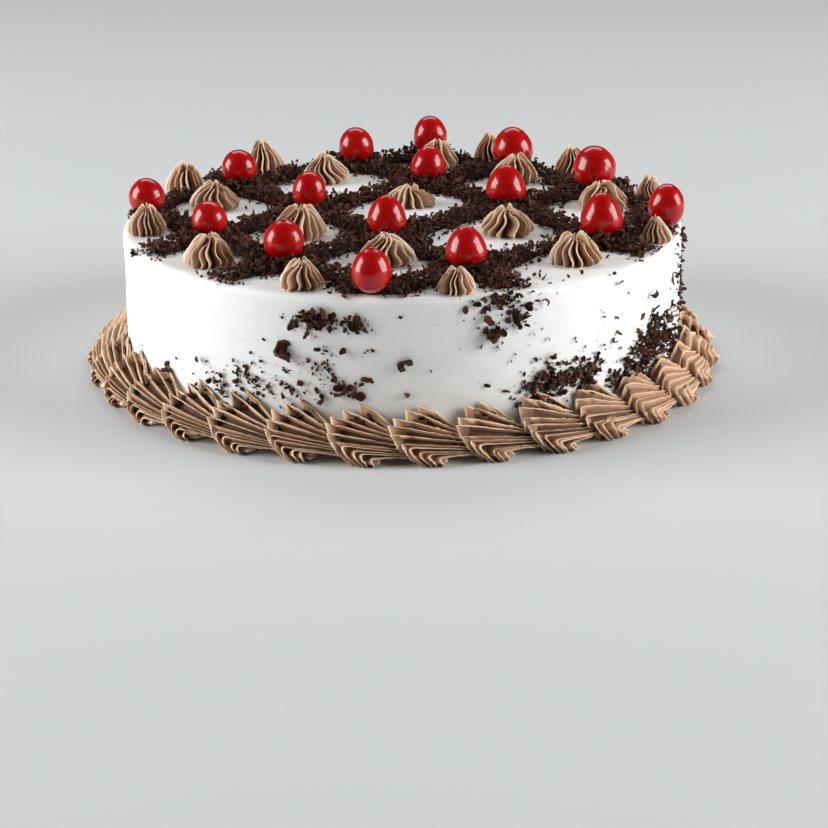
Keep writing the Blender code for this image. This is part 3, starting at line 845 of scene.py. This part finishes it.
def tilted(tree, tilt, seed, facing):
    """Adds nodes for a rotation that faces outwards, then spins at random and tilts by up to the tilt."""
    negative = add_node(tree, "ShaderNodeMath", {0: tilt, 1: -1.0}, operation="MULTIPLY").outputs["Value"]
    least = add_node(tree, "ShaderNodeCombineXYZ", {"X": negative, "Y": negative})
    most = add_node(tree, "ShaderNodeCombineXYZ", {"X": tilt, "Y": tilt, "Z": 2.0 * math.pi})
    limits = {0: least.outputs["Vector"], 1: most.outputs["Vector"], "Seed": seed}
    turns = add_node(tree, "FunctionNodeRandomValue", limits, data_type="FLOAT_VECTOR").outputs[0]
    turned = add_node(tree, "FunctionNodeEulerToRotation", {"Euler": turns}).outputs["Rotation"]
    feeds = {"Rotation": facing, "Rotate By": turned}
    return add_node(tree, "FunctionNodeRotateRotation", feeds, rotation_space="LOCAL").outputs["Rotation"]


def named_value(tree, name):
    """Adds the node that reads a named value from the points."""
    feeds = {"Name": name}
    return add_node(tree, "GeometryNodeInputNamedAttribute", feeds, data_type="FLOAT").outputs["Attribute"]


def end_with_laid(tree, laid, given, points, facing, size):
    """Adds the end of a tree: the group that lays shapes on the points, tilted, and gives them out."""
    feeds = {label: given[label] for label in ("Shapes", "Seed", "Material")}
    rotation = tilted(tree, given["Tilt"], given["Seed"], facing)
    feeds.update({"Points": points, "Rotation": rotation, "Size": size})
    lay = add_node(tree, "GeometryNodeGroup", feeds, node_tree=laid)
    add_node(tree, "NodeGroupOutput", {"Geometry": lay.outputs["Geometry"]})


def strewn_tree(laid):
    """Geometry Nodes: strews shapes over a surface, as thickly as its "cover" says."""
    sockets = {
        "Geometry": "Geometry",
        "Shapes": "Collection",
        "Density": 100000.0,
        "Smallest": 0.7,
        "Largest": 1.2,
        "Tilt": 0.8,
        "Lowest": 0.0,
        "Highest": 0.001,
        "Seed": 0,
        "Material": "Material",
    }
    tree, given = new_group("strewn_over_a_surface", "GeometryNodeTree", sockets, {"Geometry": "Geometry"})
    thickness = {0: given["Density"], 1: named_value(tree, "cover")}
    density = add_node(tree, "ShaderNodeMath", thickness, operation="MULTIPLY").outputs["Value"]
    feeds = {"Mesh": given["Geometry"], "Density": density, "Seed": given["Seed"]}
    strew = add_node(tree, "GeometryNodeDistributePointsOnFaces", feeds, distribute_method="RANDOM").outputs
    lift = random_number(tree, given["Lowest"], given["Highest"], given["Seed"])
    upwards = add_node(tree, "ShaderNodeCombineXYZ", {"Z": lift}).outputs["Vector"]
    raised = add_node(tree, "GeometryNodeSetPosition", {"Geometry": strew["Points"], "Offset": upwards})
    size = random_number(tree, given["Smallest"], given["Largest"], given["Seed"])
    end_with_laid(tree, laid, given, raised.outputs["Geometry"], strew["Rotation"], size)
    return tree


HEAP_GRID = 1.3 * MM
HEAP_CROWN = 3.6 * MM
HEAP_EDGE_WIDTH = 4.5 * MM  # how far in from its outline the heap reaches its full height
BED_DEPTH = 1.4 * MM  # how far the bed lies under the loose shavings
BED_MARGIN = 4.5 * MM  # how far it keeps from the edge of the cake
STRAY_REACH = 2.0 * MM  # how far most strays lie from the heap
STRAYS_BESIDE = 0.6  # how thickly they lie at its outline
STRAY_COVER = 0.004  # strays anywhere else on the top
STRAY_MARGIN = 1.4 * MM  # how far all of them keep from the edge of the cake
ROSETTE_STANDS, CHERRY_STANDS = 0.42, 0.30  # how far out no shaving lies under it, as a share of its width
CHERRY_BANK, CHERRY_BANK_WIDTH = 1.0 * MM, 1.6 * MM  # shavings banked up round a cherry
# Where more strays lie in front, in mm: x, y, spread and cover.
TOP_DRIFTS = (
    (48.0, -86.0, 6.0, 0.18),
    (44.0, -77.0, 5.0, 0.2),
    (52.0, -62.0, 5.0, 0.07),
    (33.0, -96.0, 6.0, 0.14),
)


def heap_field():
    """A grid over the cake's top: points, and how far inside the heap's outline each is, below 0 outside."""
    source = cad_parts["chocolate_shavings"].data
    corners = [vert.co for vert in source.vertices]
    heap = BVHTree.FromPolygons(corners, [face.vertices for face in source.polygons])
    line = np.arange(-CAKE_RADIUS, CAKE_RADIUS, HEAP_GRID)
    x, y = np.meshgrid(line, line, indexing="ij")
    above, down = CAKE_TOP + 20.0 * MM, Vector((0.0, 0.0, -1.0))
    hits = [heap.ray_cast(Vector((px, py, above)), down)[0] for px, py in zip(x.flat, y.flat)]
    held = np.array([hit is not None for hit in hits])
    depth = np.zeros(held.size)
    for side in (True, False):
        others = np.flatnonzero(held != side)
        near = KDTree(len(others))
        for index in others:
            near.insert((x.flat[index], y.flat[index], 0.0), int(index))
        near.balance()
        for index in np.flatnonzero(held == side):
            depth[index] = near.find((x.flat[index], y.flat[index], 0.0))[2] * (1.0 if side else -1.0)
    return np.stack([x, y], axis=-1), depth.reshape(x.shape)


def under_toppings(places):
    """1 where a rosette or a cherry stands on the place, for places in the plan of the cake."""
    under = np.zeros(places.shape[:2])
    for node in ROSETTE_NODES + CHERRY_NODES:
        low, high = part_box(node)
        share = ROSETTE_STANDS if node in ROSETTE_NODES else CHERRY_STANDS
        under[np.linalg.norm(places - middle_of(node), axis=-1) < share * (high.x - low.x)] = 1.0
    return under


def heap_height(places, depth):
    """How high the shavings stand over the cream, a little higher round each cherry."""
    flat = np.concatenate([places, np.zeros(places.shape[:2] + (1,))], axis=-1)
    height = HEAP_CROWN * soft_step(0.0, HEAP_EDGE_WIDTH, depth) * (0.82 + 0.22 * ripples(flat, 7.0 * MM, 7))
    for node in CHERRY_NODES:
        low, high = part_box(node)
        away = np.linalg.norm(places - middle_of(node), axis=-1)
        ring = (away - 0.5 * (high.x - low.x)) / CHERRY_BANK_WIDTH
        height += CHERRY_BANK * np.exp(-(ring**2)) * (depth > 0.0)
    return height


def heap_sheet(places, height, cover):
    """The open surface that the shavings are strewn over."""
    rows, columns = height.shape
    points = np.concatenate([places, (CAKE_TOP + height)[..., None]], axis=-1).reshape(-1, 3)
    used = cover.ravel() > 0.0
    faces = [face for face in grid_faces(rows, columns, wrap=False) if used[list(face)].any()]
    mesh = bpy.data.meshes.new("heap_sheet")
    mesh.from_pydata(points.tolist(), [], faces)
    mark_points(mesh, "cover", cover)
    if mesh.polygons[0].normal.z < 0.0:
        mesh.flip_normals()
    return mesh


def shavings_bed(material, places, depth, height):
    """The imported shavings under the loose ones, as one closed piece that dips into the cream at its edge."""
    rows, columns = height.shape
    top = CAKE_TOP + height - BED_DEPTH
    inside = ((depth > 0.0) & (np.linalg.norm(places, axis=-1) < CAKE_RADIUS - BED_MARGIN)).ravel()
    cells = [face for face in grid_faces(rows, columns, wrap=False) if inside[list(face)].all()]
    upper = np.concatenate([places, top[..., None]], axis=-1).reshape(-1, 3)
    lower = upper.copy()
    lower[:, 2] = CAKE_TOP - 2.0 * MM
    count = len(upper)
    edges = {}
    for cell in cells:
        for start, end in zip(cell, cell[1:] + cell[:1]):
            edges[start, end] = True
    walls = [(end, start, count + start, count + end) for start, end in edges if (end, start) not in edges]
    faces = cells + [tuple(count + corner for corner in reversed(cell)) for cell in cells] + walls
    mesh = bpy.data.meshes.new("shavings_bed")
    mesh.from_pydata(np.concatenate([upper, lower]).tolist(), [], faces)
    shape = bmesh.new()
    shape.from_mesh(mesh)
    bmesh.ops.delete(shape, geom=[vert for vert in shape.verts if not vert.link_faces], context="VERTS")
    bmesh.ops.recalc_face_normals(shape, faces=shape.faces)
    shape.to_mesh(mesh)
    shape.free()
    piece("shavings_bed", mesh, material, ["chocolate_shavings"])


def shavings(material, laid):
    """The heap: crumbs, shards and curls strewn over the bed, with strays beside it."""
    places, depth = heap_field()
    height = heap_height(places, depth)
    shavings_bed(material, places, depth, height)
    cover = np.where(depth > 0.0, 1.0, STRAYS_BESIDE * np.exp(depth / STRAY_REACH) + STRAY_COVER)
    for x, y, spread, share in TOP_DRIFTS:
        away = np.linalg.norm(places - np.array([x, y]) * MM, axis=-1) / (spread * MM)
        cover = np.maximum(cover, share * np.exp(-(away**2)))
    cover *= 1.0 - under_toppings(places)
    cover[np.linalg.norm(places, axis=-1) > CAKE_RADIUS - STRAY_MARGIN] = 0.0
    sheet = heap_sheet(places, height, cover)
    tree = strewn_tree(laid)
    labels = ("density", "smallest", "largest", "tilt", "lowest", "highest", "seed")
    kinds = (
        ("shavings_crumbs", crumb_shapes(), (470000.0, 0.45, 1.3, 1.2, -0.9 * MM, 0.5 * MM, 1)),
        ("shavings_shards", strip_shapes(), (210000.0, 0.55, 1.15, 0.9, -0.5 * MM, 0.9 * MM, 2)),
        ("shavings_curls", curl_shapes(), (100000.0, 0.6, 1.15, 1.4, -0.3 * MM, 1.0 * MM, 3)),
    )
    for name, shapes, values in kinds:
        given = dict(zip(labels, values))
        mesh = grown(name, tree, sheet.copy(), shapes=shapes, material=material, **given)
        piece(name, mesh, material, ["chocolate_shavings"])


# ---------------------------------------------------------------- shavings on the side

# Where shavings fell on the side: azimuth and its spread in degrees, height and its spread in mm, how many,
# and their size. Azimuth -90 is the front.
SIDE_DRIFTS = (
    (-108.2, 1.3, 45.9, 1.5, 26, 1.35),
    (-103.2, 2.2, 46.0, 1.3, 34, 1.35),
    (-98.6, 1.2, 45.2, 1.6, 24, 1.3),
    (-126.5, 2.6, 18.5, 3.0, 36, 0.85),
    (-119.8, 3.0, 21.8, 3.6, 44, 0.9),
    (-113.4, 3.0, 21.5, 3.8, 24, 0.95),
    (-109.6, 1.2, 31.6, 1.2, 6, 1.0),
    (-104.8, 2.0, 29.0, 2.6, 26, 0.8),
    (-103.3, 1.2, 35.6, 1.1, 9, 1.0),
    (-101.6, 1.4, 22.0, 1.6, 12, 1.5),
    (-106.8, 1.5, 20.0, 2.4, 11, 0.9),
    (-96.6, 0.6, 36.0, 0.7, 3, 1.0),
    (-97.2, 0.8, 26.0, 1.0, 3, 1.1),
    (-71.8, 2.4, 52.6, 1.8, 44, 1.15),
    (-68.6, 2.2, 48.6, 2.6, 34, 1.2),
    (-73.3, 1.2, 41.2, 1.8, 16, 1.3),
    (-69.6, 2.2, 43.8, 2.2, 14, 1.0),
    (-65.2, 2.4, 19.0, 2.6, 52, 1.1),
    (-60.2, 2.8, 22.0, 3.0, 88, 1.15),
    (-55.2, 2.6, 20.4, 3.2, 76, 1.15),
    (-51.6, 1.8, 25.0, 2.2, 18, 1.0),
    (-45.6, 1.6, 17.0, 2.0, 14, 1.1),
    (-40.4, 2.6, 16.4, 3.0, 66, 1.1),
    (-35.8, 3.0, 20.6, 4.2, 104, 1.15),
    (-30.4, 3.4, 24.4, 5.0, 104, 1.15),
    (-23.4, 4.2, 20.8, 5.6, 90, 1.1),
    (-12.0, 4.6, 42.0, 9.0, 44, 1.0),
    (-6.0, 5.0, 26.0, 6.0, 40, 1.0),
    (-90.0, 16.0, 34.0, 9.0, 12, 0.55),
    (-66.0, 11.0, 33.0, 8.0, 22, 0.6),
    (-47.5, 3.6, 37.0, 7.0, 12, 0.85),
    (-140.0, 9.0, 22.0, 6.0, 8, 0.7),
    (-156.0, 2.0, 54.0, 1.2, 10, 1.0),
    (25.0, 7.0, 24.0, 6.0, 60, 1.1),
    (58.0, 4.0, 42.0, 4.0, 34, 1.2),
    (84.0, 6.0, 21.0, 4.5, 80, 1.05),
    (116.0, 3.5, 35.0, 5.0, 26, 1.0),
    (148.0, 6.0, 20.0, 4.0, 60, 1.05),
    (172.0, 4.0, 44.0, 4.0, 24, 1.1),
)
# The largest pieces: azimuth, height, size and which kind.
CRUMB, SHARD, CURL = 0, 1, 2
SIDE_LARGE = (
    (-111.6, 37.6, 4.8, CURL),
    (-112.4, 35.4, 1.8, CURL),
    (-90.1, 29.4, 3.6, CURL),
    (-89.5, 20.9, 2.2, CRUMB),
    (-75.0, 47.6, 2.1, SHARD),
    (-74.6, 41.6, 2.3, CURL),
    (-73.0, 40.6, 2.3, CURL),
    (-71.8, 41.8, 2.0, CURL),
    (-71.4, 51.0, 1.9, CURL),
    (-69.0, 48.4, 2.1, CURL),
    (-67.2, 50.2, 1.8, SHARD),
    (-66.6, 45.6, 1.7, CRUMB),
    (-74.5, 22.8, 1.6, CRUMB),
    (-62.6, 23.4, 2.0, CURL),
    (-58.0, 19.6, 1.8, CRUMB),
    (-53.4, 23.0, 1.8, SHARD),
    (-45.2, 16.8, 2.0, SHARD),
    (-38.2, 22.0, 1.8, CURL),
    (-33.7, 41.0, 2.0, CURL),
    (-30.8, 30.0, 1.9, SHARD),
    (-104.9, 47.0, 2.0, SHARD),
    (-99.4, 46.2, 2.0, SHARD),
    (-107.2, 45.2, 2.0, CURL),
    (-101.4, 21.4, 2.1, SHARD),
    (-100.2, 20.2, 1.7, CRUMB),
    (-142.8, 19.6, 2.2, CURL),
    (-133.0, 25.0, 1.8, SHARD),
    (60.0, 43.0, 2.2, CURL),
    (88.0, 24.0, 2.0, SHARD),
    (151.0, 23.0, 2.2, CURL),
)
SIDE_FLOOR, SIDE_CEILING = 9.0 * MM, 54.0 * MM
DUST_SHARE, DUST_SIZE = 0.9, 0.33  # specks for each shaving, and their size


def on_the_side(azimuth, height, reach):
    """Points at azimuths in degrees, heights in mm and distances out from the cream in mm."""
    turn, out = np.radians(azimuth), CAKE_RADIUS + reach * MM
    rise = np.clip(height * MM, SIDE_FLOOR, SIDE_CEILING)
    return np.stack([out * np.cos(turn), out * np.sin(turn), rise], axis=-1)


def side_places():
    """Points on the cake's side with the size and the kind of the shaving that sticks to each."""
    draw = np.random.default_rng(24)
    places, sizes = [], []
    for azimuth, wide, height, tall, count, size in SIDE_DRIFTS:
        for share, bigger, spread in ((1.0, 1.0, 1.0), (DUST_SHARE, DUST_SIZE, 1.4)):
            number = int(count * share)
            round_it = azimuth + spread * wide * draw.normal(size=number)
            up = height + spread * tall * draw.normal(size=number)
            sizes.append(size * bigger * draw.uniform(0.5, 1.45, number))
            places.append(on_the_side(round_it, up, draw.uniform(0.12, 0.37, number)))
    sizes = np.concatenate(sizes)
    kinds = np.where(sizes < 0.45, CRUMB, draw.choice((CRUMB, SHARD, CURL), len(sizes), p=(0.45, 0.33, 0.22)))
    azimuth, height, large, large_kinds = np.array(SIDE_LARGE).T
    places.append(on_the_side(azimuth, height, 0.5))
    return np.concatenate(places), np.append(sizes, large), np.append(kinds, large_kinds)


def stuck_tree(laid):
    """Geometry Nodes: sets shapes on points round the cake, facing out, as large as their "grain" says."""
    sockets = {"Geometry": "Geometry", "Shapes": "Collection", "Tilt": 0.5, "Seed": 0, "Material": "Material"}
    tree, given = new_group("stuck_on_the_side", "GeometryNodeTree", sockets, {"Geometry": "Geometry"})
    position = add_node(tree, "GeometryNodeInputPosition").outputs["Position"]
    flatten = {0: position, 1: (1.0, 1.0, 0.0)}
    level = add_node(tree, "ShaderNodeVectorMath", flatten, operation="MULTIPLY").outputs["Vector"]
    facing = add_node(tree, "FunctionNodeAlignRotationToVector", {"Vector": level}, axis="Z")
    points = add_node(tree, "GeometryNodeMeshToPoints", {"Mesh": given["Geometry"]}).outputs["Points"]
    end_with_laid(tree, laid, given, points, facing.outputs["Rotation"], named_value(tree, "grain"))
    return tree


def side_shavings(material, laid):
    """The shavings and specks that stuck to the side, in three kinds."""
    places, sizes, kind_of = side_places()
    tree = stuck_tree(laid)
    kinds = (
        ("side_crumbs", CRUMB, "crumb_shapes", 1.3, 4),
        ("side_shards", SHARD, "strip_shapes", 0.5, 5),
        ("side_curls", CURL, "curl_shapes", 1.3, 6),
    )
    for name, kind, shapes, tilt, seed in kinds:
        chosen = kind_of == kind
        base = bpy.data.meshes.new(name)
        base.from_pydata(places[chosen].tolist(), [], [])
        mark_points(base, "grain", sizes[chosen])
        shapes = bpy.data.collections[shapes]
        mesh = grown(name, tree, base, shapes=shapes, tilt=tilt, seed=seed, material=material)
        piece(name, mesh, material, ["chocolate_shavings"])


# ---------------------------------------------------------------- studio

ROOM_SEEN = (0.62, 0.64, 0.645, 1.0)
ROOM_LIGHT = (0.95, 0.98, 1.0, 1.0)
ROOM_STRENGTH = 0.05
FLOOR_HALF = 1.2
FLOOR_COLOUR = (0.605, 0.62, 0.625, 1.0)
FLOOR_ROUGHNESS = 0.8
LIT_MIDDLE = Vector((0, 0, 0.04))  # where the soft boxes point
# Soft boxes: azimuth in degrees, height, distance, width and height of the box, and power in watts.
SOFT_BOXES = (
    ("left_box", -84.0, 0.54, 1.4, (0.95, 1.05), 29.0),
    ("right_box", 79.0, 0.54, 1.4, (0.95, 1.05), 29.0),
    ("back_box", 180.0, 1.3, 1.1, (1.6, 0.6), 9.5),
)
SENSOR_WIDTH, LENS_LENGTH = 36.0, 89.19  # in mm
EYE_PLACE = (0.0, -0.7537, 0.2516)
EYE_PITCH, EYE_YAW, EYE_ROLL = 0.351, 0.0051, -0.0074  # in radians

def pale_room(scene):
    """A pale grey behind the cake that hardly lights it."""
    world = bpy.data.worlds.new("pale_room")
    scene.world = world
    world.use_nodes = True
    tree = world.node_tree
    seen = tree.nodes["Background"]
    seen.inputs["Color"].default_value = ROOM_SEEN
    dim = add_node(tree, "ShaderNodeBackground", {"Color": ROOM_LIGHT, "Strength": ROOM_STRENGTH})
    path = add_node(tree, "ShaderNodeLightPath").outputs["Is Camera Ray"]
    feeds = {"Fac": path, 1: dim.outputs["Background"], 2: seen.outputs["Background"]}
    either = add_node(tree, "ShaderNodeMixShader", feeds)
    tree.links.new(either.outputs["Shader"], tree.nodes["World Output"].inputs["Surface"])


def studio():
    """A pale floor, a soft box to each side, a weaker one behind and a pale room."""
    scene = bpy.context.scene
    scene.view_settings.view_transform = "Standard"
    pale_room(scene)
    floor_mesh = bpy.data.meshes.new("floor")
    corners = [(FLOOR_HALF * x, FLOOR_HALF * y, 0) for x, y in ((-1, -1), (1, -1), (1, 1), (-1, 1))]
    floor_mesh.from_pydata(corners, [], [(0, 1, 2, 3)])
    floor = bpy.data.objects.new("floor", floor_mesh)
    scene.collection.objects.link(floor)
    pale = bpy.data.materials.new("pale_floor")
    pale.use_nodes = True
    shader = pale.node_tree.nodes["Principled BSDF"]
    shader.inputs["Base Color"].default_value = FLOOR_COLOUR
    shader.inputs["Roughness"].default_value = FLOOR_ROUGHNESS
    floor_mesh.materials.append(pale)
    for name, azimuth, height, distance, size, power in SOFT_BOXES:
        lamp = bpy.data.lights.new(name, "AREA")
        lamp.shape = "RECTANGLE"
        lamp.size, lamp.size_y = size
        lamp.energy = power
        box = bpy.data.objects.new(name, lamp)
        turn = math.radians(azimuth)
        place = Vector((math.sin(turn) * distance, -math.cos(turn) * distance, height))
        aim = (LIT_MIDDLE - place).to_track_quat("-Z", "Y").to_matrix().to_4x4()
        box.matrix_world = Matrix.Translation(place) @ aim
        scene.collection.objects.link(box)


def camera():
    """The camera looks a little down on the front of the cake."""
    lens = bpy.data.cameras.new("camera")
    lens.sensor_width = SENSOR_WIDTH
    lens.lens = LENS_LENGTH
    eye = bpy.data.objects.new("camera", lens)
    pitch = Matrix.Rotation(math.pi / 2.0 - EYE_PITCH, 4, "X")
    turn = Matrix.Rotation(-EYE_YAW, 4, "Z") @ pitch @ Matrix.Rotation(EYE_ROLL, 4, "Z")
    eye.matrix_world = Matrix.Translation(EYE_PLACE) @ turn
    bpy.context.scene.collection.objects.link(eye)
    bpy.context.scene.camera = eye


def main():
    cream, chocolate_cream, dark_chocolate, glazed = finishes()
    cream_coat(cream)
    shell_border(chocolate_cream)
    for node in ROSETTE_NODES:
        rosette(node, chocolate_cream)
    for node in CHERRY_NODES:
        cherry(node, glazed)
    laid = laid_group()
    shavings(dark_chocolate, laid)
    side_shavings(dark_chocolate, laid)
    studio()
    camera()


main()
